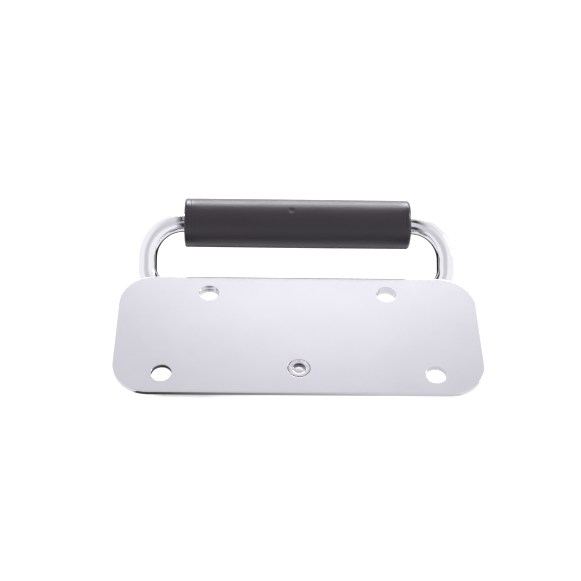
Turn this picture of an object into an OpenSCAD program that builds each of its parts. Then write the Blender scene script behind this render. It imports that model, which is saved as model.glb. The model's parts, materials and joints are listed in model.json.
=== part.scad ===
// Folding case handle: a flat screw-on plate, a pressed hinge saddle clamped in front of it,
// a sprung U-shaped rod bail and a moulded grip sleeve.
//
// Origin: centre of the mounting face. +Z points out of the mounting face, towards the panel
// that the handle is screwed to. +Y points to the hinge edge and +X runs along the width.
// All sizes are millimetres.

/* [Mounting plate] */
// Width of the plate, along the grip
plate_w = 120; // [116:1:132]
// Height of the plate, across the grip
plate_h = 50; // [48:1:60]
// Sheet thickness of the plate
plate_t = 1.6; // [1.2:0.1:2]
// Radius of the plate's corners
plate_corner_r = 12; // [6:1:14]

/* [Screw holes] */
// Diameter of the four screw holes
screw_hole_d = 6.5; // [4.5:0.1:6.6]
// Spacing of the two holes next to the hinge
hinge_hole_spacing = 60; // [52:1:60]
// Spacing of the two holes at the free edge
free_hole_spacing = 88; // [80:1:94]
// Distance from the hinge-side holes to the plate's edge
hinge_hole_edge = 7.5; // [7:0.25:9]
// Distance from the free-side holes to the plate's edge
free_hole_edge = 7.75; // [6:0.25:9]

/* [Bail] */
// Diameter of the bail's rod
rod_d = 6.5; // [6:0.1:6.6]
// Distance between the centre lines of the two legs
leg_spacing = 103.5; // [103:0.5:106]
// Distance from the hinge axis to the grip's axis
bail_reach = 24; // [22:0.5:40]
// Centre-line radius of the two bends next to the grip
grip_bend_r = 12.25; // [8:0.25:12.25]
// Centre-line radius of the two bends next to the pivots
pivot_bend_r = 8; // [6:0.5:8.5]
// Angle of the bail past the plate's plane, where it rests on its stop
bail_angle = 36; // [0:0.5:40]

/* [Grip sleeve] */
// Outer diameter of the sleeve
grip_d = 17; // [12:0.5:22]
// Length of the sleeve
grip_len = 78; // [60:1:78]
// Radius of the sleeve's rounded ends
grip_end_r = 0.8; // [0.5:0.1:2]

/* [Hinge saddle] */
// Sheet thickness of the saddle
saddle_t = 1.6; // [1.2:0.1:1.6]
// Length of each rolled knuckle
knuckle_len = 4.5; // [4:0.1:4.6]
// How far the sheet is rolled round the pivot, in degrees
knuckle_wrap = 305; // [290:5:305]
// Height of the two stop tabs above the saddle's sheet
tab_height = 7; // [4:0.5:7]

/* [Return springs] */
// Diameter of the spring wire
wire_d = 1; // [0.8:0.1:1]
// Length of the arm that pushes the bail
spring_arm = 4.5; // [4.25:0.25:4.75]

/* [Centre rivet] */
// Diameter of the rivet's shank
rivet_d = 5; // [4:0.5:5]
// Diameter of the rivet's rolled end
rivet_clinch_d = 7.4; // [6.6:0.1:8]
// Diameter of the rivet's formed head
rivet_head_d = 9; // [8:0.5:11]

/* [Hidden] */

$fn = 96;

// Gaps between pieces.
run_gap = 0.05;    // running fit of a pivot in its knuckle, on the radius
fit_gap = 0.03;    // pieces that are clamped or pushed together
spring_gap = 0.2;  // round the springs
arm_gap = 0.1;     // between a spring's arm and the saddle it rests on
side_gap = 0.2;    // beside the legs and the pivot bends
stop_gap = 0.3;    // between the bail and the tab that stops it
past = 1;          // how far a cutter runs past what it cuts

// Hinge axis. The knuckle's outside touches the plate.
rod_r = rod_d / 2;
knuckle_r = rod_r + run_gap;
knuckle_outer_r = knuckle_r + saddle_t;
hinge_inset = 0.8;
hinge_y = plate_h / 2 - hinge_inset;
hinge_z = -plate_t - knuckle_outer_r;

// Bail, right half.
leg_x = leg_spacing / 2;
pivot_straight_x = leg_x - pivot_bend_r;
grip_straight_x = leg_x - grip_bend_r;
pivot_chamfer = 0.8;

// Knuckle and spring share the pivot's straight length.
wire_r = wire_d / 2;
coil_r = rod_r + spring_gap + wire_r;
coil_turns = 2;
part_turn = 0.25;      // on top of the whole turns
coil_lead = 1.08;      // pitch as a share of the wire's diameter
coil_outer_x = pivot_straight_x - side_gap - spring_gap - wire_r;
coil_inner_x = coil_outer_x - wire_d * coil_lead * (coil_turns + part_turn);
knuckle_outer_x = coil_inner_x - wire_r - spring_gap;
knuckle_inner_x = knuckle_outer_x - knuckle_len;
pivot_overhang = 0.5;  // the pivot's end past its knuckle
pivot_end_x = knuckle_inner_x - pivot_overhang;

// Saddle outline.
hinge_hole_y = plate_h / 2 - hinge_hole_edge;
free_hole_y = -plate_h / 2 + free_hole_edge;
saddle_front_z = -plate_t - saddle_t;
tab_bend_r = 0.5;
tab_face_y = hinge_y - rod_r - stop_gap;
tab_bend_y = tab_face_y - saddle_t - tab_bend_r;
tab_inner_x = pivot_straight_x + side_gap;
wing_x = leg_x - side_gap;
wing_low_y = 3;
wing_corner_r = 2.5;
band_margin = 2.5;     // from the plate's hinge edge
foot_margin = 3;       // from the plate's free edge
band_top_y = plate_h / 2 - band_margin;
foot_y = -plate_h / 2 + foot_margin;
foot_half_w = 15;
foot_corner_r = 7;

// Rivet.
rivet_edge = 10;       // from the plate's free edge
rivet_y = -plate_h / 2 + rivet_edge;
rivet_r = rivet_d / 2;
clinch_r = rivet_clinch_d / 2;
clinch_depth = 1.1;
hollow_r = 0.68 * rivet_r;
hollow_mouth_r = 0.96 * rivet_r;
hollow_depth = 2.3;
head_r = rivet_head_d / 2;
head_top_r = 0.55 * head_r;
head_h = 1.7;
head_rim = 0.5;

// Repeats its children on both sides of the plane x = 0.
module both_sides() {
    children();
    mirror([1, 0, 0]) children();
}

// Puts children, modelled with the hinge axis on X and the legs along +Y, in the rest pose.
module at_hinge(angle) {
    translate([0, hinge_y, hinge_z]) rotate([angle, 0, 0]) children();
}

// Flat rectangle with round corners, centred on the origin.
module rounded_rectangle(w, h, r) {
    square([w - 2 * r, h], center = true);
    square([w, h - 2 * r], center = true);
    for (x = [-1, 1], y = [-1, 1])
        translate([x * (w / 2 - r), y * (h / 2 - r)]) circle(r);
}

module round_hole(x, y, r) {
    translate([x, y, saddle_front_z - past]) cylinder(r = r, h = plate_t + saddle_t + 2 * past);
}

module mounting_plate() {
    color([0.83, 0.83, 0.86])
    difference() {
        translate([0, 0, -plate_t]) linear_extrude(plate_t)
            rounded_rectangle(plate_w, plate_h, plate_corner_r);
        both_sides() round_hole(hinge_hole_spacing / 2, hinge_hole_y, screw_hole_d / 2);
        both_sides() round_hole(free_hole_spacing / 2, free_hole_y, screw_hole_d / 2);
        round_hole(0, rivet_y, rivet_r + fit_gap);
        translate([0, rivet_y, -clinch_depth])
            cylinder(r1 = rivet_r + fit_gap, r2 = clinch_r + fit_gap, h = clinch_depth);
    }
}

// The saddle's flat outline, right half: foot, slanted side, wing and screw band.
module saddle_outline_half() {
    foot = [foot_half_w - foot_corner_r, foot_y + foot_corner_r];
    wing = [wing_x - wing_corner_r, wing_low_y];
    slope = wing - foot;
    lean = asin((foot_corner_r - wing_corner_r) / norm(slope));
    out_angle = atan2(slope[1], slope[0]) - 90 + lean;
    out = [cos(out_angle), sin(out_angle)];
    translate(foot) circle(foot_corner_r);
    translate(wing) circle(wing_corner_r);
    polygon([
        [0, foot_y],
        [foot[0], foot_y],
        foot + foot_corner_r * out,
        wing + wing_corner_r * out,
        [wing_x, wing_low_y],
        [wing_x, tab_bend_y],
        [knuckle_inner_x, tab_bend_y],
        [knuckle_inner_x, band_top_y],
        [0, band_top_y]
    ]);
}

// Ring sector round the X axis, from inner to outer radius. Starts at +Z and turns towards +Y.
module rolled_sheet(inner_r, outer_r, wrap, len) {
    rotate([0, 90, 0]) rotate([0, 0, 180 - wrap])
        rotate_extrude(angle = wrap) translate([inner_r, 0]) square([outer_r - inner_r, len]);
}

// Sheet rolled round the pivot. The notch parts the rolled end from the flat sheet.
module knuckle() {
    notch_angle = 450 - knuckle_wrap;
    translate([knuckle_inner_x, 0, 0])
    difference() {
        union() {
            translate([0, hinge_y, hinge_z]) rotate([0, 90, 0])
                cylinder(r = knuckle_outer_r, h = knuckle_len);
            translate([0, tab_bend_y, saddle_front_z])
                cube([knuckle_len, hinge_y - tab_bend_y, saddle_t]);
        }
        translate([-past, hinge_y, hinge_z]) rotate([0, 90, 0])
            cylinder(r = knuckle_r, h = knuckle_len + 2 * past);
        translate([-past, hinge_y, hinge_z]) rotate([90, 0, 90])
            linear_extrude(knuckle_len + 2 * past)
                polygon([[0, 0], [0, knuckle_r], [knuckle_r / tan(notch_angle), knuckle_r]]);
    }
}

// Tab bent up from the wing. It stops the bail square to the plate.
module stop_tab() {
    tab_w = wing_x - tab_inner_x;
    translate([tab_inner_x, tab_bend_y, saddle_front_z - tab_bend_r])
        rolled_sheet(tab_bend_r, tab_bend_r + saddle_t, 90, tab_w);
    translate([tab_inner_x, tab_face_y - saddle_t, saddle_front_z - tab_height])
        cube([tab_w, saddle_t, tab_height - tab_bend_r]);
}

module hinge_saddle() {
    color([0.78, 0.78, 0.80])
    difference() {
        union() {
            translate([0, 0, saddle_front_z]) linear_extrude(saddle_t)
                both_sides() saddle_outline_half();
            both_sides() knuckle();
            both_sides() stop_tab();
        }
        both_sides() round_hole(hinge_hole_spacing / 2, hinge_hole_y, screw_hole_d / 2);
        round_hole(0, rivet_y, rivet_r + fit_gap);
    }
}

// Semi-tubular rivet: a formed head in front of the saddle and a rolled, hollow end that
// finishes flush with the mounting face.
module centre_rivet() {
    color([0.72, 0.72, 0.74])
    translate([0, rivet_y, 0])
    difference() {
        union() {
            translate([0, 0, saddle_front_z - fit_gap])
                cylinder(r = rivet_r, h = -saddle_front_z + fit_gap - clinch_depth);
            translate([0, 0, -clinch_depth]) cylinder(r1 = rivet_r, r2 = clinch_r, h = clinch_depth);
            translate([0, 0, saddle_front_z - fit_gap - head_rim]) cylinder(r = head_r, h = head_rim);
            translate([0, 0, saddle_front_z - fit_gap - head_h])
                cylinder(r1 = head_top_r, r2 = head_r, h = head_h - head_rim);
        }
        translate([0, 0, -hollow_depth]) cylinder(r = hollow_r, h = hollow_depth + past);
        translate([0, 0, -clinch_depth])
            cylinder(r1 = hollow_r, r2 = hollow_mouth_r, h = clinch_depth);
    }
}

// Quarter bend of the rod about the origin, from +X to +Y.
module rod_bend(bend_r) {
    rotate_extrude(angle = 90) translate([bend_r, 0]) circle(rod_r);
}

module rod_along_x(x0, x1) {
    translate([x0, 0, 0]) rotate([0, 90, 0]) cylinder(r = rod_r, h = x1 - x0);
}

// Right half of the bail, with the hinge axis on X and the leg along +Y.
module bail_half() {
    translate([pivot_end_x, 0, 0]) rotate([0, 90, 0])
        cylinder(r1 = rod_r - pivot_chamfer, r2 = rod_r, h = pivot_chamfer);
    rod_along_x(pivot_end_x + pivot_chamfer, pivot_straight_x);
    translate([pivot_straight_x, pivot_bend_r, 0]) rotate([0, 0, -90]) rod_bend(pivot_bend_r);
    translate([leg_x, pivot_bend_r, 0]) rotate([-90, 0, 0])
        cylinder(r = rod_r, h = bail_reach - pivot_bend_r - grip_bend_r);
    translate([grip_straight_x, bail_reach - grip_bend_r, 0]) rod_bend(grip_bend_r);
}

module bail() {
    color([0.85, 0.85, 0.88])
    at_hinge(bail_angle) {
        both_sides() bail_half();
        translate([0, bail_reach, 0]) rod_along_x(-grip_straight_x, grip_straight_x);
    }
}

// Half section of the sleeve from its middle to one rounded end. X is the radius.
module sleeve_section() {
    bore_r = rod_r + fit_gap;
    end_y = grip_len / 2;
    translate([bore_r, 0]) square([grip_d / 2 - bore_r, end_y - grip_end_r]);
    translate([bore_r, 0]) square([grip_d / 2 - bore_r - grip_end_r, end_y]);
    translate([grip_d / 2 - grip_end_r, end_y - grip_end_r]) circle(grip_end_r);
}

module grip_sleeve() {
    color([0.13, 0.13, 0.14])
    at_hinge(bail_angle) translate([0, bail_reach, 0]) rotate([0, 90, 0])
        rotate_extrude() {
            sleeve_section();
            mirror([0, 1]) sleeve_section();
        }
}

// Centre line of the right-hand spring: an arm on the saddle, the coil, and an arm along the
// bail that hooks across its leg. Angles are in the YZ plane, from +Y towards +Z. Each entry
// is [point, tangent, normal], and the normal is the coil's radial direction.
function in_plane(a) = [0, cos(a), sin(a)];
hinge_point = [0, hinge_y, hinge_z];
foot_arm_y = 11;
foot_arm_z = saddle_front_z - wire_r - arm_gap;
foot_to_axis = [hinge_y - foot_arm_y, hinge_z - foot_arm_z];
foot_angle = atan2(foot_to_axis[1], foot_to_axis[0]) - asin(coil_r / norm(foot_to_axis));
coil_start = foot_angle - 90;
coil_end = bail_angle - 90 + 360 * coil_turns;
coil_steps = 48;
hook_r = 1;
hook_steps = 4;

function coil_point(t) =
    let (a = coil_start + (coil_end - coil_start) * t)
    [hinge_point + coil_r * in_plane(a) + [coil_inner_x + (coil_outer_x - coil_inner_x) * t, 0, 0],
     in_plane(a + 90), in_plane(a)];

arm_start = coil_point(1);
arm_dir = in_plane(bail_angle);
hook_corner = arm_start[0] + (spring_arm - hook_r) * arm_dir + [hook_r, 0, 0];

function hook_point(a) =
    [hook_corner + hook_r * (sin(a) * arm_dir - [cos(a), 0, 0]),
     cos(a) * arm_dir + [sin(a), 0, 0], arm_start[2]];

spring_path = concat(
    [[[coil_inner_x, foot_arm_y, foot_arm_z], in_plane(foot_angle), in_plane(coil_start)]],
    [for (i = [0:coil_steps]) coil_point(i / coil_steps)],
    [for (i = [0:hook_steps]) hook_point(90 * i / hook_steps)],
    [[[leg_x, 0, 0] + [0, hook_point(90)[0][1], hook_point(90)[0][2]], [1, 0, 0], arm_start[2]]]
);

wire_sides = 12;

// Sweeps a round wire along a list of [point, tangent, normal].
module wire(path) {
    rings = len(path);
    points = [for (p = path, k = [0:wire_sides - 1])
        let (a = 360 * k / wire_sides)
        p[0] + wire_r * (cos(a) * p[2] + sin(a) * cross(p[1], p[2]))];
    walls = [for (i = [0:rings - 2], k = [0:wire_sides - 1])
        let (n = (k + 1) % wire_sides, a = i * wire_sides, b = (i + 1) * wire_sides)
        [a + k, b + k, b + n, a + n]];
    start_cap = [for (k = [0:wire_sides - 1]) k];
    end_cap = [for (k = [wire_sides - 1:-1:0]) (rings - 1) * wire_sides + k];
    polyhedron(points, concat(walls, [start_cap], [end_cap]), convexity = 6);
}

module return_spring_right() {
    color([0.62, 0.62, 0.64]) wire(spring_path);
}

module return_spring_left() {
    mirror([1, 0, 0]) return_spring_right();
}

mounting_plate();
hinge_saddle();
centre_rivet();
bail();
grip_sleeve();
return_spring_left();
return_spring_right();
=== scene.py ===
import json
import math

import bpy
from mathutils import Matrix, Vector
from mathutils.geometry import tessellate_polygon


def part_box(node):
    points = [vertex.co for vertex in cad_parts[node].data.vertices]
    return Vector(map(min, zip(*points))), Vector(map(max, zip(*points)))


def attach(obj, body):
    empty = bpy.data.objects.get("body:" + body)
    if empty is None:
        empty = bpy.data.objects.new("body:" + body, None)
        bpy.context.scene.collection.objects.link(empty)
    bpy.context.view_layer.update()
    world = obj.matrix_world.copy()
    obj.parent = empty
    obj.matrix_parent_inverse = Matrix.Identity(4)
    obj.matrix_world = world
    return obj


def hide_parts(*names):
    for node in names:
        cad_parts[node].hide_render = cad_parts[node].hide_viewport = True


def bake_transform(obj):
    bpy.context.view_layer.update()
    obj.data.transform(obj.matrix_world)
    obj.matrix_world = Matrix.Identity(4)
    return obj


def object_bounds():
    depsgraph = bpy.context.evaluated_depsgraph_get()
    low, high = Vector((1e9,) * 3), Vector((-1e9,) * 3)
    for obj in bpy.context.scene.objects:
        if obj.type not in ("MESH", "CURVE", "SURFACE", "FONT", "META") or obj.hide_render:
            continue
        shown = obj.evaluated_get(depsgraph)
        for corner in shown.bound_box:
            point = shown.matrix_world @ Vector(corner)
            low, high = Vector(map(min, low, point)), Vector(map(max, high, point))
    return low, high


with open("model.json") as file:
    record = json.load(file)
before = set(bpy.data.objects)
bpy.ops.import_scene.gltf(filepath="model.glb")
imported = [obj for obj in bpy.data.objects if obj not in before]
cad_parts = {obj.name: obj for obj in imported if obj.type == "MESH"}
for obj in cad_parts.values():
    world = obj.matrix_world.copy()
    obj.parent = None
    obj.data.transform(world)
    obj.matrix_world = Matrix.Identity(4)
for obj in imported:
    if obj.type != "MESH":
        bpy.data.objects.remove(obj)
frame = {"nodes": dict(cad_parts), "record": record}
cad_low, cad_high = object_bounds()
record = frame["record"]

MM = 0.001
BASE = "base"
BAIL = "bail"

# ---------------------------------------------------------------- sizes

mounts = {m["name"]: m for m in record["mounts"]}
hinge = next(j for j in record["behaviour"]["joints"] if j["name"] == "bail_hinge")
HINGE = Vector(hinge["pos_m"])

plate_low, plate_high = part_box("mounting_plate")
rivet_low, rivet_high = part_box("centre_rivet")
grip_low, grip_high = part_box("grip_sleeve")
bail_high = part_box("bail")[1]

PLATE_W = plate_high.x - plate_low.x
PLATE_H = plate_high.y - plate_low.y
PLATE_T = plate_high.z - plate_low.z
PLATE_CORNER = 12 * MM
SHEET_FRONT = -3.2 * MM

ROD_R = 3.25 * MM
LEG_X = bail_high.x - ROD_R
GRIP_CENTRE = (grip_low + grip_high) / 2
GRIP_OFFSET = GRIP_CENTRE - HINGE
BAIL_REACH = GRIP_OFFSET.length
BAIL_ANGLE = math.atan2(GRIP_OFFSET.z, GRIP_OFFSET.y)
GRIP_BEND = 12.25 * MM
PIVOT_BEND = 8 * MM
PIVOT_END = 34.72 * MM
PIVOT_CHAMFER = 0.8 * MM

GRIP_R = (grip_high.z - grip_low.z) / 2
GRIP_HALF = grip_high.x
GRIP_END_R = 0.8 * MM  # cut end, on the left
GRIP_MOULDED_R = 1.3 * MM  # moulded end, on the right

RIVET_Y = (rivet_low.y + rivet_high.y) / 2

# Painted reflection of the sleeve's dark ends, drawn as dark streaks on the bar beside the sleeve. Their
# places are measured across the bar along the first direction below.
END_REFLECTION_UP = Vector((0, 0.73, 0.68))
END_REFLECTION_PLACES = (1.30 * MM, -1.05 * MM)
END_REFLECTION_LENGTHS = (3.4 * MM, 6.6 * MM)  # left, right
END_REFLECTION_WIDTHS = (0.95 * MM, 0.48 * MM)
END_REFLECTION_SIDE = (34.0 * MM, 36.5 * MM)  # y - z over which the streaks end round the bar

WIRE_R = 0.5 * MM
COIL_R = 3.95 * MM
COIL_TURNS = 2
SPRING_ARM = 4.5 * MM
HOOK_R = 1 * MM
FOOT_ARM = Vector((0, 11 * MM, -3.8 * MM))
COIL_OUTER = 42.85 * MM
COIL_INNER = 40.42 * MM

REST_Z = cad_low.z  # level of the painted shadow and the cards: the part's lowest point at rest
FLOOR_Z = HINGE.z - BAIL_REACH - GRIP_R - 0.5 * MM  # clear of the grip when the bail stands out


# ---------------------------------------------------------------- mesh helpers


def make_object(name, verts, faces, material, body, nodes):
    """A smooth mesh that rides on a body and stands for the CAD nodes."""
    mesh = bpy.data.meshes.new(name)
    mesh.from_pydata([tuple(v) for v in verts], [], faces)
    mesh.validate()
    mesh.shade_smooth()
    mesh.materials.append(material)
    obj = bpy.data.objects.new(name, mesh)
    bpy.context.scene.collection.objects.link(obj)
    if body:
        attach(obj, body)
    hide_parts(*nodes)
    return obj


def bridge(a, b, count):
    """Quads between two closed rings of count points that start at vertex a and b."""
    return [(a + k, a + (k + 1) % count, b + (k + 1) % count, b + k) for k in range(count)]


def quarter(radius, steps):
    """Points of a quarter round from (radius, 0) to (0, radius), as (inset, drop)."""
    angles = [math.pi / 2 * k / steps for k in range(steps + 1)]
    return [(radius * (1 - math.sin(a)), radius * (1 - math.cos(a))) for a in angles]


def offset_loop(loop, inset):
    """Moves a closed loop of 2-D points to its left by inset, with mitred corners."""
    n = len(loop)
    out = []
    for k in range(n):
        before = (loop[k] - loop[k - 1]).normalized()
        after = (loop[(k + 1) % n] - loop[k]).normalized()
        left_a = Vector((-before.y, before.x))
        left_b = Vector((-after.y, after.x))
        mitre = left_a + left_b
        out.append(loop[k] + mitre * (inset / max(0.2, 1 + left_a.dot(left_b))))
    return out


def arc(centre, radius, start, end, steps):
    """Points along an arc, in degrees, both ends included."""
    angles = [math.radians(start + (end - start) * k / steps) for k in range(steps + 1)]
    return [Vector((centre[0] + radius * math.cos(a), centre[1] + radius * math.sin(a))) for a in angles]


def rounded_rectangle(w, h, r, steps):
    loop = []
    for quadrant, (sx, sy) in enumerate([(1, -1), (1, 1), (-1, 1), (-1, -1)]):
        centre = (sx * (w / 2 - r), sy * (h / 2 - r))
        start = -90 + 90 * quadrant
        loop += arc(centre, r, start, start + 90, steps)
    return loop


def circle_loop(x, y, r, steps):
    """A hole's outline, clockwise, so that the material is on its left."""
    return [
        Vector((x + r * math.cos(a), y + r * math.sin(a)))
        for a in [-2 * math.pi * k / steps for k in range(steps)]
    ]


def sheet_mesh(loops):
    """A flat part from loops of (outline, profile). A profile is a list of (inset, z), from the
    upper face round the edge to the lower face."""
    verts, faces = [], []
    upper, lower, upper_ids, lower_ids = [], [], [], []
    for outline, profile in loops:
        n = len(outline)
        starts = []
        for inset, z in profile:
            starts.append(len(verts))
            verts += [Vector((p.x, p.y, z)) for p in offset_loop(outline, inset)]
        for a, b in zip(starts, starts[1:]):
            faces += [tuple(reversed(f)) for f in bridge(a, b, n)]
        upper.append([verts[starts[0] + k] for k in range(n)])
        upper_ids += range(starts[0], starts[0] + n)
        lower.append([verts[starts[-1] + k] for k in range(n)])
        lower_ids += range(starts[-1], starts[-1] + n)
    for rings, ids, up in ((upper, upper_ids, True), (lower, lower_ids, False)):
        for tri in tessellate_polygon(rings):
            a, b, c = (ids[k] for k in tri)
            turn = (verts[b] - verts[a]).cross(verts[c] - verts[a]).z
            faces.append((a, b, c) if (turn > 0) == up else (c, b, a))
    return verts, faces


HOLD = 0.12 * MM  # flat strip beside each rounded edge, which keeps the faces' shading flat


def edge_profile(top, bottom, r_top, r_bottom, steps=5):
    """Profile of a sheet's edge: rounded on its upper and its lower side."""
    rows = [(r_top + HOLD, top)]
    rows += [(inset, top - drop) for inset, drop in quarter(r_top, steps)]
    rows += [(inset, bottom + drop) for inset, drop in reversed(quarter(r_bottom, steps))]
    rows.append((r_bottom + HOLD, bottom))
    return rows


def lathe(profile, axis_point, axis, sides, start=(0, 0, 1)):
    """Turns a list of (radius, distance along the axis). A radius of 0 closes it in a point."""
    axis = Vector(axis).normalized()
    u = Vector(start)
    w = axis.cross(u)
    verts, faces, rows = [], [], []
    for r, d in profile:
        centre = Vector(axis_point) + axis * d
        if r == 0:
            rows.append((len(verts), 1))
            verts.append(centre)
            continue
        rows.append((len(verts), sides))
        for k in range(sides):
            a = 2 * math.pi * k / sides
            verts.append(centre + u * (r * math.cos(a)) + w * (r * math.sin(a)))
    for (a, na), (b, nb) in zip(rows, rows[1:]):
        if na == 1:
            faces += [(a, b + (k + 1) % nb, b + k) for k in range(nb)]
        elif nb == 1:
            faces += [(a + k, a + (k + 1) % na, b) for k in range(na)]
        else:
            faces += bridge(a, b, na)
    return verts, faces


def outward(verts, faces):
    """Turns every face round if the closed mesh is inside out."""
    volume = 0
    for f in faces:
        for k in range(1, len(f) - 1):
            volume += verts[f[0]].dot(verts[f[k]].cross(verts[f[k + 1]]))
    return faces if volume > 0 else [tuple(reversed(f)) for f in faces]


def tube(path, radii, sides):
    """Sweeps a circle along a path of points. radii gives each point's radius. The ends are closed."""
    n = len(path)
    tangents = []
    for k in range(n):
        a, b = path[max(0, k - 1)], path[min(n - 1, k + 1)]
        tangents.append((b - a).normalized())
    side = tangents[0].orthogonal().normalized()
    verts, faces = [], []
    for k in range(n):
        side = (side - tangents[k] * side.dot(tangents[k])).normalized()
        up = tangents[k].cross(side)
        for j in range(sides):
            a = 2 * math.pi * j / sides
            verts.append(path[k] + (side * math.cos(a) + up * math.sin(a)) * radii[k])
    for k in range(n - 1):
        faces += [tuple(reversed(f)) for f in bridge(k * sides, (k + 1) * sides, sides)]
    first, last = len(verts), len(verts) + 1
    verts += [path[0], path[-1]]
    end = (n - 1) * sides
    faces += [(first, k, (k + 1) % sides) for k in range(sides)]
    faces += [(last, end + (k + 1) % sides, end + k) for k in range(sides)]
    return verts, outward(verts, faces)


# ---------------------------------------------------------------- materials


class Nodes:
    """Short-hand for building a material's node tree."""

    def __init__(self, name):
        self.material = bpy.data.materials.new(name)
        self.material.use_nodes = True
        self.tree = self.material.node_tree
        self.tree.nodes.clear()
        self.shader = self.add("ShaderNodeBsdfPrincipled")
        out = self.add("ShaderNodeOutputMaterial")
        self.link(self.shader.outputs["BSDF"], out.inputs["Surface"])
        self.coords = self.add("ShaderNodeTexCoord").outputs["Object"]

    def add(self, kind, **settings):
        node = self.tree.nodes.new(kind)
        for key, value in settings.items():
            setattr(node, key, value)
        return node

    def link(self, a, b):
        self.tree.links.new(a, b)

    def stretched(self, scale):
        mapping = self.add("ShaderNodeMapping")
        mapping.inputs["Scale"].default_value = scale
        self.link(self.coords, mapping.inputs["Vector"])
        return mapping.outputs["Vector"]

    def noise(self, scale, detail=4.0, rough=0.55, vector=None):
        node = self.add("ShaderNodeTexNoise")
        node.inputs["Scale"].default_value = scale
        node.inputs["Detail"].default_value = detail
        node.inputs["Roughness"].default_value = rough
        self.link(vector or self.coords, node.inputs["Vector"])
        return node.outputs["Fac"]

    def cells(self, scale, vector=None, feature="F1"):
        node = self.add("ShaderNodeTexVoronoi", feature=feature)
        node.inputs["Scale"].default_value = scale
        self.link(vector or self.coords, node.inputs["Vector"])
        return node.outputs["Distance"]

    def remap(self, value, low, high, to_low, to_high):
        node = self.add("ShaderNodeMapRange")
        node.inputs["From Min"].default_value = low
        node.inputs["From Max"].default_value = high
        node.inputs["To Min"].default_value = to_low
        node.inputs["To Max"].default_value = to_high
        self.link(value, node.inputs["Value"])
        return node.outputs["Result"]

    def math(self, operation, a, b):
        node = self.add("ShaderNodeMath", operation=operation)
        for socket, value in zip(node.inputs, (a, b)):
            if isinstance(value, (int, float)):
                socket.default_value = value
            else:
                self.link(value, socket)
        return node.outputs["Value"]

    def mix(self, factor, a, b):
        node = self.add("ShaderNodeMix", data_type="RGBA")
        self.link(factor, node.inputs["Factor"])
        for socket, value in ((node.inputs["A"], a), (node.inputs["B"], b)):
            if isinstance(value, tuple):
                socket.default_value = (*value, 1)
            else:
                self.link(value, socket)
        return node.outputs["Result"]

    def axes(self):
        split = self.add("ShaderNodeSeparateXYZ")
        self.link(self.coords, split.inputs["Vector"])
        return split.outputs["X"], split.outputs["Y"], split.outputs["Z"]

    def bump(self, height, strength, distance, normal=None):
        node = self.add("ShaderNodeBump")
        node.inputs["Strength"].default_value = strength
        node.inputs["Distance"].default_value = distance
        self.link(height, node.inputs["Height"])
        if normal:
            self.link(normal, node.inputs["Normal"])
        return node.outputs["Normal"]

    def set(self, **values):
        for key, value in values.items():
            socket = self.shader.inputs[key.replace("_", " ")]
            if isinstance(value, bpy.types.NodeSocket):
                self.link(value, socket)
            else:
                socket.default_value = value


def painted_end_reflection(m):
    """1 where a painted reflection of the sleeve's dark end lies on the bar as dark streaks, next to the
    sleeve's two ends, on the side of the bar towards the front and top.
    """
    x, y, z = m.axes()
    beyond = m.math("SUBTRACT", m.math("ABSOLUTE", x, 0.0), GRIP_HALF)
    length = m.remap(x, -1 * MM, 1 * MM, *END_REFLECTION_LENGTHS)
    width = m.remap(x, -1 * MM, 1 * MM, *END_REFLECTION_WIDTHS)
    fade = m.remap(m.math("DIVIDE", beyond, length), 0.35, 1.0, 1.0, 0.0)
    height = m.math("ADD", m.math("MULTIPLY", y, END_REFLECTION_UP.y), m.math("MULTIPLY", z, END_REFLECTION_UP.z))
    height = m.math("SUBTRACT", height, GRIP_CENTRE.dot(END_REFLECTION_UP))
    # The streaks follow the bend and drift a little towards its inner side.
    bend = m.math("DIVIDE", m.math("MULTIPLY", beyond, beyond), 2 * GRIP_BEND)
    height = m.math("ADD", m.math("ADD", height, bend), m.math("MULTIPLY", beyond, 0.08))
    streaks = None
    for middle in END_REFLECTION_PLACES:
        off = m.math("ABSOLUTE", m.math("SUBTRACT", height, middle), 0.0)
        streak = m.remap(m.math("DIVIDE", off, width), 0.7, 1.4, 1.0, 0.0)
        streaks = m.math("MAXIMUM", streaks, streak) if streaks else streak
    broken = m.remap(m.noise(900, 2, 0.5, m.stretched((0.3, 1.0, 1.0))), 0.38, 0.50, 0.35, 1.0)
    # The painted reflection is kept to the side of the bar towards the front and top.
    near_side = m.remap(m.math("SUBTRACT", y, z), *END_REFLECTION_SIDE, 1.0, 0.0)
    return m.math("MULTIPLY", m.math("MULTIPLY", fade, near_side), m.math("MULTIPLY", streaks, broken))


def rivet_hollow_shade(m):
    """Painted shade: darkens the wall of the rivet's hollow, more deeply down it and on its far side, and
    the rim of its lip, most on its near side.
    """
    x, y, z = m.axes()
    from_axis = m.math("POWER", m.math("SUBTRACT", y, RIVET_Y), 2.0)
    radius = m.math("SQRT", m.math("ADD", m.math("MULTIPLY", x, x), from_axis), 0.0)
    back = m.math("SUBTRACT", y, RIVET_Y)
    wall = m.remap(radius, 1.84 * MM, 1.92 * MM, 0.0, 1.0)
    wall = m.math("MULTIPLY", wall, m.remap(radius, 2.12 * MM, 2.24 * MM, 1.0, 0.0))
    wall = m.math("MULTIPLY", wall, m.remap(z, -0.62 * MM, -0.06 * MM, 0.90, 0.60))
    wall = m.math("MULTIPLY", wall, m.remap(back, 0.6 * MM, 1.9 * MM, 0.60, 1.0))
    rim = m.math("MULTIPLY", m.remap(radius, 3.32 * MM, 3.46 * MM, 0.0, 1.0),
                 m.remap(back, -3.42 * MM, -3.05 * MM, 1.0, 0.75))
    return m.math("MAXIMUM", wall, m.math("MULTIPLY", rim, m.remap(z, -1.2 * MM, -1.0 * MM, 0.0, 1.0)))


# Colour of the painted shade in the rivet's hollow and of the painted reflection on the bail.
PAINTED_DARK_COLOUR = (0.035, 0.030, 0.036)


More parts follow.
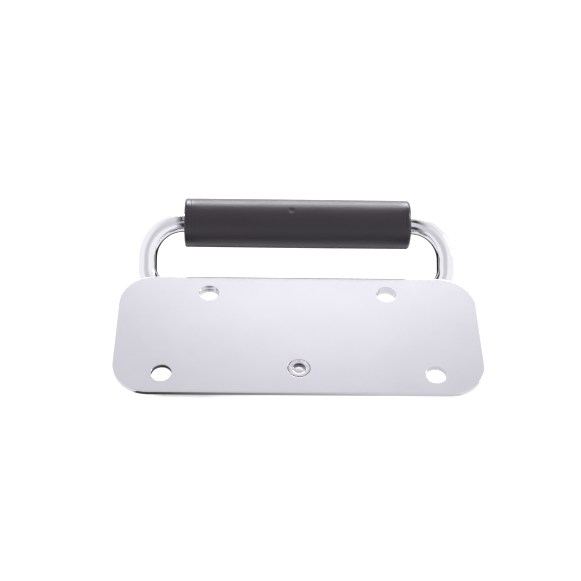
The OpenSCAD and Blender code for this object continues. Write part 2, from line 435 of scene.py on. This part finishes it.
def chrome(name, light, dark, rough_low, rough_high, wave, grain, painted_dark_mask=None):
    """Plated metal: cloudy colour, hairline scratches, faint waviness and fine grain. The last
    argument is a function that returns where painted shade, on the rivet, and a painted reflection, on
    the bail, darken the metal."""
    m = Nodes(name)
    clouds = m.noise(60, 5, 0.6)
    smudges = m.noise(140, 6, 0.65, m.stretched((1.0, 2.2, 1.0)))
    hairlines = m.noise(900, 3, 0.7, m.stretched((0.05, 1.0, 0.4)))
    pits = m.remap(m.cells(1400), 0.0, 0.16, 1.0, 0.0)
    rough = m.math("ADD", m.remap(smudges, 0.3, 0.72, rough_low, rough_high),
                   m.remap(hairlines, 0.55, 0.8, 0.0, 0.05))
    height = m.math("ADD", m.math("MULTIPLY", hairlines, 0.25), m.math("MULTIPLY", pits, -0.5))
    waves = m.bump(m.noise(85, 2, 0.4), wave, 0.0006)
    fine = m.bump(height, grain, 0.00005, waves)
    colour = m.mix(m.remap(clouds, 0.35, 0.65, 0, 1), dark, light)
    if painted_dark_mask:
        colour = m.mix(painted_dark_mask(m), colour, PAINTED_DARK_COLOUR)
    m.set(Base_Color=colour, Metallic=1.0, Roughness=rough, Normal=fine)
    return m.material


VINYL_DARK = (0.0076, 0.0050, 0.0078)
VINYL_LIGHT = (0.0122, 0.0084, 0.0128)
VINYL_POLISHED = 4.5 * MM  # length at each end that handling has made glossier


def black_vinyl(name):
    """Moulded soft PVC: fine grain, long flow streaks and a slightly greasy sheen."""
    m = Nodes(name)
    grain = m.noise(2600, 3, 0.6)
    leather = m.cells(1500, feature="SMOOTH_F1")
    streaks = m.noise(260, 4, 0.6, m.stretched((0.12, 1.0, 1.0)))
    clouds = m.noise(45, 4, 0.6)
    rough = m.math("ADD", m.remap(clouds, 0.3, 0.7, 0.37, 0.45),
                   m.remap(streaks, 0.35, 0.7, -0.03, 0.05))
    from_end = m.math("SUBTRACT", GRIP_HALF, m.math("ABSOLUTE", m.axes()[0], 0.0))
    rough = m.math("MULTIPLY", rough, m.remap(from_end, 0.0, VINYL_POLISHED, 0.50, 1.0))
    height = m.math("ADD", m.math("MULTIPLY", grain, 0.6), m.math("MULTIPLY", leather, 0.5))
    soft = m.bump(streaks, 0.10, 0.0002)
    m.set(
        Base_Color=m.mix(m.remap(streaks, 0.3, 0.7, 0, 1), VINYL_DARK, VINYL_LIGHT),
        Roughness=rough,
        IOR=1.52,
        Specular_IOR_Level=0.44,
        Specular_Tint=(0.92, 0.89, 1.0, 1),
        Normal=m.bump(height, 0.22, 0.00006, soft),
    )
    return m.material


def spring_wire(name):
    """Drawn steel wire: fine lines and a thin film of oil."""
    m = Nodes(name)
    lines = m.noise(1800, 3, 0.7, m.stretched((1.0, 0.3, 0.3)))
    clouds = m.noise(300, 3, 0.6)
    m.set(
        Base_Color=m.mix(m.remap(clouds, 0.35, 0.7, 0, 1), (0.42, 0.41, 0.40), (0.56, 0.56, 0.57)),
        Metallic=1.0,
        Roughness=m.remap(lines, 0.3, 0.7, 0.22, 0.36),
        Normal=m.bump(lines, 0.2, 0.00003),
    )
    return m.material


plate_chrome = chrome("plate_chrome", (0.560, 0.552, 0.600), (0.545, 0.537, 0.583), 0.07, 0.11,
                      0.02, 0.03)
saddle_chrome = chrome("saddle_chrome", (0.60, 0.60, 0.62), (0.55, 0.55, 0.57), 0.20, 0.30, 0.05, 0.10)
rivet_chrome = chrome("rivet_chrome", (0.50, 0.49, 0.52), (0.42, 0.41, 0.44), 0.14, 0.26, 0.02, 0.10,
                     rivet_hollow_shade)
bail_chrome = chrome("bail_chrome", (0.665, 0.658, 0.700), (0.650, 0.643, 0.685), 0.045, 0.075,
                     0.015, 0.02, painted_end_reflection)
grip_pvc = black_vinyl("grip_pvc")
spring_steel = spring_wire("spring_steel")

# ---------------------------------------------------------------- mounting plate

ROUND_TOP = 0.22 * MM
ROUND_LOW = 0.16 * MM
HOLE_TOP = 0.12 * MM
HOLE_LOW = 0.10 * MM
COUNTERSINK_R = 3.68 * MM
COUNTERSINK_DEPTH = 1.1 * MM
RIVET_HOLE_R = 2.53 * MM


def screw_holes():
    """(x, y, radius) of each screw hole, from the record's mounts."""
    holes = []
    for name in ("hinge_side_screws", "free_side_screws"):
        mount = mounts[name]
        half = mount["dims"]["spacing_x_mm"] * MM / 2
        for side in (-1, 1):
            holes.append((side * half, mount["pos_m"][1], mount["dims"]["hole_r_mm"] * MM))
    return holes


def build_plate():
    outline = rounded_rectangle(PLATE_W, PLATE_H, PLATE_CORNER, 20)
    loops = [(outline, edge_profile(0, -PLATE_T, ROUND_TOP, ROUND_LOW))]
    for x, y, r in screw_holes():
        loops.append((circle_loop(x, y, r, 64), edge_profile(0, -PLATE_T, HOLE_TOP, HOLE_LOW)))
    sink = COUNTERSINK_R - RIVET_HOLE_R
    rim = 0.08 * MM
    rows = [(sink + rim + HOLD, 0.0)]
    rows += [(sink + inset, -drop) for inset, drop in quarter(rim, 3)]
    rows += [(0.0, -COUNTERSINK_DEPTH)]
    rows += [(inset, -PLATE_T + drop) for inset, drop in reversed(quarter(HOLE_LOW, 3))]
    rows.append((HOLE_LOW + HOLD, -PLATE_T))
    loops.append((circle_loop(0, RIVET_Y, RIVET_HOLE_R, 64), rows))
    verts, faces = sheet_mesh(loops)
    return make_object(
        "mounting_plate_body", verts, faces, plate_chrome, BASE, ["mounting_plate"]
    )


build_plate()

# ---------------------------------------------------------------- hinge saddle

saddle = frame["nodes"]["hinge_saddle"]
saddle.data.materials.clear()
saddle.data.materials.append(saddle_chrome)
weld = saddle.modifiers.new("weld", "WELD")
weld.merge_threshold = 0.001 * MM
bevel = saddle.modifiers.new("edges", "BEVEL")
bevel.width = 0.18 * MM
bevel.segments = 3
bevel.limit_method = "ANGLE"
bevel.angle_limit = math.radians(38)
bevel.harden_normals = True

# ---------------------------------------------------------------- centre rivet


SCALLOP = 0.016 * MM
NICK = 0.07 * MM
NICK_HALF_ANGLE = math.radians(8)


def build_rivet():
    """Formed head in front, shank, and the end rolled over into the countersink."""
    head_low = rivet_low.z
    flat = SHEET_FRONT - 0.03 * MM
    head_r = (rivet_high.x - rivet_low.x) / 2
    shank = 2.5 * MM
    profile = [(0.0, head_low)]
    steps = 10
    crown = flat - 0.25 * MM
    for k in range(1, steps + 1):
        a = math.pi / 2 * k / steps
        profile.append((head_r * math.sin(a), crown - (crown - head_low) * math.cos(a)))
    profile += [
        (head_r, flat - 0.12 * MM),
        (head_r - 0.12 * MM, flat),
        (shank + 0.05 * MM, flat),
        (shank, flat + 0.05 * MM),
        (shank, -1.12 * MM),
    ]
    # Rolled lip: out along the countersink, flattened on top, and over into the hollow.
    profile += [(r * MM, z * MM) for r, z in [
        (2.56, -1.02), (3.42, -0.42), (3.56, -0.30), (3.61, -0.18), (3.59, -0.10), (3.53, -0.05),
        (3.46, -0.032), (3.40, -0.03), (2.90, -0.035), (2.30, -0.04), (2.22, -0.043), (2.15, -0.055),
        (2.11, -0.075), (2.08, -0.12),
    ]]
    # Hollow, and the dimple that the tool leaves at its bottom.
    profile += [(r * MM, z * MM) for r, z in [
        (2.05, -0.34), (2.03, -0.54), (2.00, -0.72), (1.96, -0.83), (1.88, -0.89), (1.78, -0.90),
        (1.55, -0.878), (1.25, -0.848), (0.85, -0.820), (0.45, -0.804), (0.18, -0.801),
    ]]
    profile.append((0.0, -0.80 * MM))
    verts, faces = lathe(profile, (0, RIVET_Y, 0), (0, 0, 1), 72, start=(1, 0, 0))
    # The rolling tool leaves the lip very slightly scalloped, with a nick on its hinge side.
    for v in verts:
        dx, dy = v.x, v.y - RIVET_Y
        r = math.hypot(dx, dy)
        a = math.atan2(dy, dx)
        if r > 2.12 * MM and v.z > -0.6 * MM:
            v.z -= SCALLOP * (0.5 + 0.5 * math.sin(7 * a + 0.6)) * (0.6 + 0.4 * math.sin(3 * a))
        if 1.9 * MM < r < 2.95 * MM and v.z > -0.6 * MM:
            v.z -= NICK * math.exp(-(((a - math.pi / 2) / NICK_HALF_ANGLE) ** 2))
    make_object("centre_rivet_body", verts, outward(verts, faces), rivet_chrome, BASE,
                ["centre_rivet"])


build_rivet()

# ---------------------------------------------------------------- bail


def bail_point(x, along, off=0.0):
    """A point on the bail: along its legs from the hinge, and off its plane."""
    c, s = math.cos(BAIL_ANGLE), math.sin(BAIL_ANGLE)
    return Vector((x, HINGE.y + along * c - off * s, HINGE.z + along * s + off * c))


def build_bail():
    pivot_x = LEG_X - PIVOT_BEND
    grip_x = LEG_X - GRIP_BEND
    half, radii = [], []
    for x, r in [
        (PIVOT_END, ROD_R - PIVOT_CHAMFER - 0.15 * MM),
        (PIVOT_END + 0.02 * MM, ROD_R - PIVOT_CHAMFER - 0.05 * MM),
        (PIVOT_END + 0.10 * MM, ROD_R - PIVOT_CHAMFER + 0.06 * MM),
        (PIVOT_END + PIVOT_CHAMFER - 0.08 * MM, ROD_R - 0.09 * MM),
        (PIVOT_END + PIVOT_CHAMFER + 0.06 * MM, ROD_R - 0.01 * MM),
        (PIVOT_END + PIVOT_CHAMFER + 0.20 * MM, ROD_R),
    ]:
        half.append((x, 0.0))
        radii.append(r)
    steps = 8
    start = PIVOT_END + PIVOT_CHAMFER + 0.20 * MM
    half += [(start + (pivot_x - start) * k / steps, 0.0) for k in range(1, steps)]
    half += [tuple(p) for p in arc((pivot_x, PIVOT_BEND), PIVOT_BEND, -90, 0, 24)]
    top = BAIL_REACH - GRIP_BEND
    half += [(LEG_X, PIVOT_BEND + (top - PIVOT_BEND) * k / steps) for k in range(1, steps)]
    half += [tuple(p) for p in arc((grip_x, top), GRIP_BEND, 0, 90, 40)]
    radii += [ROD_R] * (len(half) - len(radii))
    middle = [(grip_x * (1 - 2 * k / 12), BAIL_REACH) for k in range(1, 12)]
    path = half + middle + [(-x, y) for x, y in reversed(half)]
    radii = radii + [ROD_R] * len(middle) + list(reversed(radii))
    verts, faces = tube([bail_point(x, y) for x, y in path], radii, 72)
    make_object("bail_rod", verts, faces, bail_chrome, BAIL, ["bail"])


build_bail()

# ---------------------------------------------------------------- grip sleeve

GATE_X = -2.2 * MM
GATE_ANGLE = math.radians(103)  # from +Y towards +Z
GATE_R = 0.90 * MM
GATE_DEPTH = 0.22 * MM
GATE_HALF_ANGLE = math.radians(11)  # the mesh is finer this near to the gate mark
FINE_STEP = math.radians(0.7)
COARSE_STEP = math.radians(4)
BARREL = 0.04 * MM  # how much the sleeve swells in the middle
END_STATION = 0.12 * MM  # spacing of the cross-sections near the ends
GRIP_BORE_R = ROD_R + 0.03 * MM
BEAD_X = GRIP_HALF - 2.1 * MM
BEAD_W = 0.28 * MM
BEAD_H = 0.06 * MM


def grip_radius(x):
    """Outer radius along the sleeve: rounded ends, a shallow ring near each end, a faint barrel."""
    d = GRIP_HALF - abs(x)
    r = GRIP_R - BARREL
    r += BARREL * math.exp(-((abs(x) / (0.55 * GRIP_HALF)) ** 4))
    r -= BEAD_H * math.exp(-(((abs(x) - BEAD_X) / BEAD_W) ** 2))
    r -= 0.6 * BEAD_H * math.exp(-(((abs(x) - BEAD_X + 1.0 * MM) / BEAD_W) ** 2))
    end_r = GRIP_MOULDED_R if x > 0 else GRIP_END_R
    if d < end_r:
        r -= end_r - math.sqrt(max(0.0, end_r ** 2 - (end_r - d) ** 2))
    return r


def grip_stations(end_r):
    """Where one half of the sleeve has a cross-section, from its end inwards."""
    stations = [GRIP_HALF - end_r * (1 - math.cos(math.pi / 2 * k / 10)) for k in range(11)]
    stations += [GRIP_HALF - end_r - END_STATION * k for k in range(1, 22)]
    edge = stations[-1]
    return stations + [edge - (edge - 6 * MM) * k / 24 for k in range(1, 25)]


def from_gate(a):
    """Angle from the gate mark, between -pi and pi."""
    return (a - GATE_ANGLE + math.pi) % (2 * math.pi) - math.pi


def grip_angles():
    angles = []
    a = 0.0
    while a < 2 * math.pi:
        angles.append(a)
        a += FINE_STEP if abs(from_gate(a)) < GATE_HALF_ANGLE else COARSE_STEP
    return angles


def gate_dimple(x, a):
    """Depth of the gate mark at a point of the sleeve."""
    d2 = (x - GATE_X) ** 2 + (from_gate(a) * GRIP_R) ** 2
    return GATE_DEPTH * math.exp(-((d2 / GATE_R ** 2) ** 1.5))


def grip_end(side, end_r, n):
    """Rings of one end face, from the bore outwards, as (x, radii)."""
    rings = [
        (0.35 * MM, GRIP_BORE_R),
        (0.06 * MM, GRIP_BORE_R + 0.25 * MM),
        (0.0, GRIP_BORE_R + 0.45 * MM),
        (0.0, GRIP_R - end_r - 0.15 * MM),
    ]
    return [(side * (GRIP_HALF - inset), [r] * n) for inset, r in rings]


def build_grip():
    near = [GATE_X + 0.1 * MM * k for k in range(-16, 17)]
    between = [-6 * MM, -5 * MM, -4.4 * MM, -0.2 * MM, 1 * MM, 2.5 * MM, 4 * MM]
    left = [-x for x in grip_stations(GRIP_END_R)]
    xs = sorted(left + between + near + grip_stations(GRIP_MOULDED_R))
    xs = [x for k, x in enumerate(xs) if k == 0 or x - xs[k - 1] > 0.01 * MM]
    angles = grip_angles()
    n = len(angles)
    centre = bail_point(0, BAIL_REACH)
    rows = grip_end(-1, GRIP_END_R, n)
    rows += [(x, [grip_radius(x) - gate_dimple(x, a) for a in angles]) for x in xs]
    rows += reversed(grip_end(1, GRIP_MOULDED_R, n))
    verts, faces = [], []
    for x, radii in rows:
        for a, r in zip(angles, radii):
            verts.append(Vector((x, centre.y + r * math.cos(a), centre.z + r * math.sin(a))))
    count = len(rows)
    for k in range(count):
        faces += bridge(k * n, ((k + 1) % count) * n, n)
    make_object("grip_sleeve_body", verts, outward(verts, faces), grip_pvc, BAIL,
                ["grip_sleeve"])


build_grip()

# ---------------------------------------------------------------- return springs


def in_plane(a):
    return Vector((0, math.cos(a), math.sin(a)))


def spring_path():
    """Centre line of the right-hand spring: foot arm, coil, bail arm and hook."""
    to_axis = Vector((0, HINGE.y, HINGE.z)) - FOOT_ARM
    distance = to_axis.length
    foot_angle = math.atan2(to_axis.z, to_axis.y) - math.asin(COIL_R / distance)
    start = foot_angle - math.pi / 2
    end = BAIL_ANGLE - math.pi / 2 + 2 * math.pi * COIL_TURNS
    centre = Vector((0, HINGE.y, HINGE.z))
    coil = []
    steps = 150
    for k in range(steps + 1):
        t = k / steps
        x = COIL_INNER + (COIL_OUTER - COIL_INNER) * t
        coil.append(centre + in_plane(start + (end - start) * t) * COIL_R + Vector((x, 0, 0)))
    foot = FOOT_ARM + Vector((COIL_INNER, 0, 0))
    path = [foot + (coil[0] - foot) * k / 12 for k in range(12)] + coil
    arm = in_plane(BAIL_ANGLE)
    corner = coil[-1] + arm * (SPRING_ARM - HOOK_R)
    path += [coil[-1] + (corner - coil[-1]) * k / 5 for k in range(1, 5)]
    for k in range(0, 9):
        a = math.pi / 2 * k / 8
        path.append(corner + arm * (HOOK_R * math.sin(a)) + Vector((HOOK_R * (1 - math.cos(a)), 0, 0)))
    tip = path[-1]
    path += [Vector((tip.x + (LEG_X - tip.x) * k / 6, tip.y, tip.z)) for k in range(1, 7)]
    return path


def build_spring(side, name):
    path = [Vector((side * p.x, p.y, p.z)) for p in spring_path()]
    radii = [WIRE_R] * len(path)
    radii[0] = radii[-1] = 0.82 * WIRE_R
    verts, faces = tube(path, radii, 20)
    spring = make_object(name + "_wire", verts, faces, spring_steel, None, [name])
    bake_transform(spring)


build_spring(-1, "return_spring_left")
build_spring(1, "return_spring_right")

# ---------------------------------------------------------------- floor, painted shadow and sheets of painted shade


def flat_stage(name, low, high, z, material):
    mesh = bpy.data.meshes.new(name)
    mesh.from_pydata(
        [(low[0], low[1], z), (high[0], low[1], z), (high[0], high[1], z), (low[0], high[1], z)],
        [],
        [(0, 1, 2, 3)],
    )
    mesh.materials.append(material)
    obj = bpy.data.objects.new(name, mesh)
    bpy.context.scene.collection.objects.link(obj)
    return obj


def floor_material():
    """White acrylic, lit from below. It lies under the lifted bail, so the part hangs above it."""
    m = Nodes("stage_floor")
    m.set(
        Base_Color=(0.20, 0.20, 0.20, 1),
        Roughness=0.9,
        Emission_Color=(1.0, 1.0, 1.0, 1),
        Emission_Strength=0.90,
    )
    return m.material


# Where the painted shadows fade in and out, each as (from, to).
SHADOW_X_IN = (-51 * MM, -44 * MM)
SHADOW_X_OUT = (-30 * MM, 2 * MM)
EDGE_SHADOW_IN = (-17.4 * MM, -14.6 * MM)
EDGE_SHADOW_OUT = (-14.0 * MM, -12.0 * MM)
UNDER_SHADOW_IN = (-6.0 * MM, -3.6 * MM)
UNDER_SHADOW_OUT = (8.0 * MM, 14.0 * MM)
EDGE_SHADOW_SLANT = 1.6 * MM
SHADE_GLOW_X = (-46 * MM, 30 * MM)  # where the graded card's glow begins and is full


def shadow_material():
    """Painted soft shadows under the plate's left half, clear everywhere else. No light casts them."""
    m = Nodes("stage_shadow")
    x, y, _ = m.axes()
    left = m.remap(x, *SHADOW_X_OUT, 1.0, 0.0)
    inside = m.remap(x, *SHADOW_X_IN, 0.0, 1.0)
    front = m.math("ADD", y, m.math("MULTIPLY", left, EDGE_SHADOW_SLANT))
    edge = m.math("MULTIPLY", m.remap(front, *EDGE_SHADOW_IN, 0.0, 1.0),
                  m.remap(y, *EDGE_SHADOW_OUT, 1.0, 0.0))
    under = m.math("MULTIPLY", m.remap(y, *UNDER_SHADOW_IN, 0.0, 0.95),
                   m.remap(y, *UNDER_SHADOW_OUT, 1.0, 0.0))
    shade = m.math("MULTIPLY", m.math("MULTIPLY", m.math("ADD", edge, under), left), inside)
    m.set(
        Base_Color=(0.20, 0.20, 0.20, 1),
        Roughness=0.9,
        Emission_Color=(1.0, 1.0, 1.0, 1),
        Emission_Strength=0.04,
        Alpha=shade,
    )
    return m.material


def reflected_shade_material(name, glow):
    """Painted shade that only reflections see: a black sheet, or one whose painted glow rises from left
    to right.
    """
    m = Nodes(name)
    m.set(Base_Color=(0.02, 0.018, 0.022, 1), Roughness=1.0, Specular_IOR_Level=0.0)
    if glow:
        x = m.axes()[0]
        m.set(
            Emission_Color=(1.0, 1.0, 1.0, 1),
            Emission_Strength=m.remap(x, *SHADE_GLOW_X, 0.05, 1.0),
        )
    return m.material


flat_stage("stage_floor", (-3, -3), (3, 3), FLOOR_Z, floor_material())
flat_stage("stage_shadow", (-56 * MM, -22 * MM), (6 * MM, 18 * MM), REST_Z - 0.02 * MM, shadow_material())

SHADE_SHEET_Z = REST_Z + 0.1 * MM
black_shade_sheet = reflected_shade_material("stage_reflected_shade", False)
graded_shade_sheet = reflected_shade_material("stage_reflected_shade_graded", True)
# Only reflections see these sheets of painted shade under and around the part: they give the chrome its
# dark lines.
shade_sheets = [
    flat_stage("stage_shade_back", (-44 * MM, 37.5 * MM), (44 * MM, 64 * MM), SHADE_SHEET_Z, black_shade_sheet),
    flat_stage("stage_shade_front", (-58 * MM, -40 * MM), (58 * MM, -4 * MM), SHADE_SHEET_Z, graded_shade_sheet),
]
for c in shade_sheets:
    c.visible_camera = False
    c.visible_diffuse = False
    c.visible_shadow = False
    c.visible_transmission = False

# ---------------------------------------------------------------- lights

world = bpy.data.worlds.new("studio")
bpy.context.scene.world = world
world.use_nodes = True


def lobe(tree, direction, direction_socket, width):
    """1 towards a direction, falling to 0 round it. width is the cosine at which it ends."""
    dot = tree.nodes.new("ShaderNodeVectorMath")
    dot.operation = "DOT_PRODUCT"
    tree.links.new(direction_socket, dot.inputs[0])
    dot.inputs[1].default_value = Vector(direction).normalized()
    ramp = tree.nodes.new("ShaderNodeMapRange")
    ramp.interpolation_type = "SMOOTHERSTEP"
    ramp.inputs["From Min"].default_value = width
    ramp.inputs["From Max"].default_value = 1.0
    tree.links.new(dot.outputs["Value"], ramp.inputs["Value"])
    return ramp.outputs["Result"]


WORLD_LEVEL = 1.32
WORLD_LOBES = [  # aim, cosine at the edge, strength
    ((-0.25, -0.68, 0.70), 0.75, -0.42),
    ((0.0, 0.20, 1.0), 0.70, -0.30),
    ((0.04, 0.765, 0.643), 0.970, 0.46),
    ((0.02, 0.95, 0.30), 0.93, 2.2),
]


def build_world():
    """A pale studio: one level all round, darker above and in front, brighter low at the back."""
    tree = world.node_tree
    tree.nodes.clear()
    out = tree.nodes.new("ShaderNodeOutputWorld")
    back = tree.nodes.new("ShaderNodeBackground")
    tree.links.new(back.outputs["Background"], out.inputs["Surface"])
    back.inputs["Color"].default_value = (1.0, 0.995, 1.0, 1)
    direction = tree.nodes.new("ShaderNodeTexCoord").outputs["Generated"]
    total = None
    for aim, width, strength in WORLD_LOBES:
        part = tree.nodes.new("ShaderNodeMath")
        part.operation = "MULTIPLY_ADD"
        tree.links.new(lobe(tree, aim, direction, width), part.inputs[0])
        part.inputs[1].default_value = strength
        if total is None:
            part.inputs[2].default_value = WORLD_LEVEL
        else:
            tree.links.new(total, part.inputs[2])
        total = part.outputs["Value"]
    tree.links.new(total, back.inputs["Strength"])


build_world()


SOFTBOX_AIM = (0, 0.02, 0)


def softbox(name, location, size, power):
    light = bpy.data.lights.new(name, "AREA")
    light.shape = "RECTANGLE"
    light.size, light.size_y = size
    light.energy = power
    obj = bpy.data.objects.new(name, light)
    obj.location = location
    obj.rotation_mode = "QUATERNION"
    obj.rotation_quaternion = (Vector(SOFTBOX_AIM) - Vector(location)).to_track_quat("-Z", "Y")
    bpy.context.scene.collection.objects.link(obj)


softbox("softbox_back", (0.14, 0.95, 0.45), (0.75, 0.46), 10.5)
softbox("softbox_right", (0.92, 0.28, 0.38), (0.30, 0.40), 6.0)

# ---------------------------------------------------------------- camera

CAMERA_AT = Vector((-0.01190, -0.26969, 0.31115))
CAMERA_RIGHT = Vector((0.999706, -0.008106, 0.022852))
CAMERA_UP = Vector((-0.009597, 0.733235, 0.679908))
CAMERA_LENS = 77.45


def build_camera():
    data = bpy.data.cameras.new("camera")
    data.lens = CAMERA_LENS
    data.sensor_width = 36
    data.clip_start = 0.01
    data.clip_end = 20
    camera = bpy.data.objects.new("camera", data)
    right = CAMERA_RIGHT.normalized()
    back = right.cross(CAMERA_UP).normalized()
    up = back.cross(right)
    turn = Matrix((right, up, back)).transposed()
    camera.matrix_world = Matrix.Translation(CAMERA_AT) @ turn.to_4x4()
    bpy.context.scene.collection.objects.link(camera)
    bpy.context.scene.camera = camera


build_camera()
bpy.context.scene.view_settings.view_transform = "Standard"
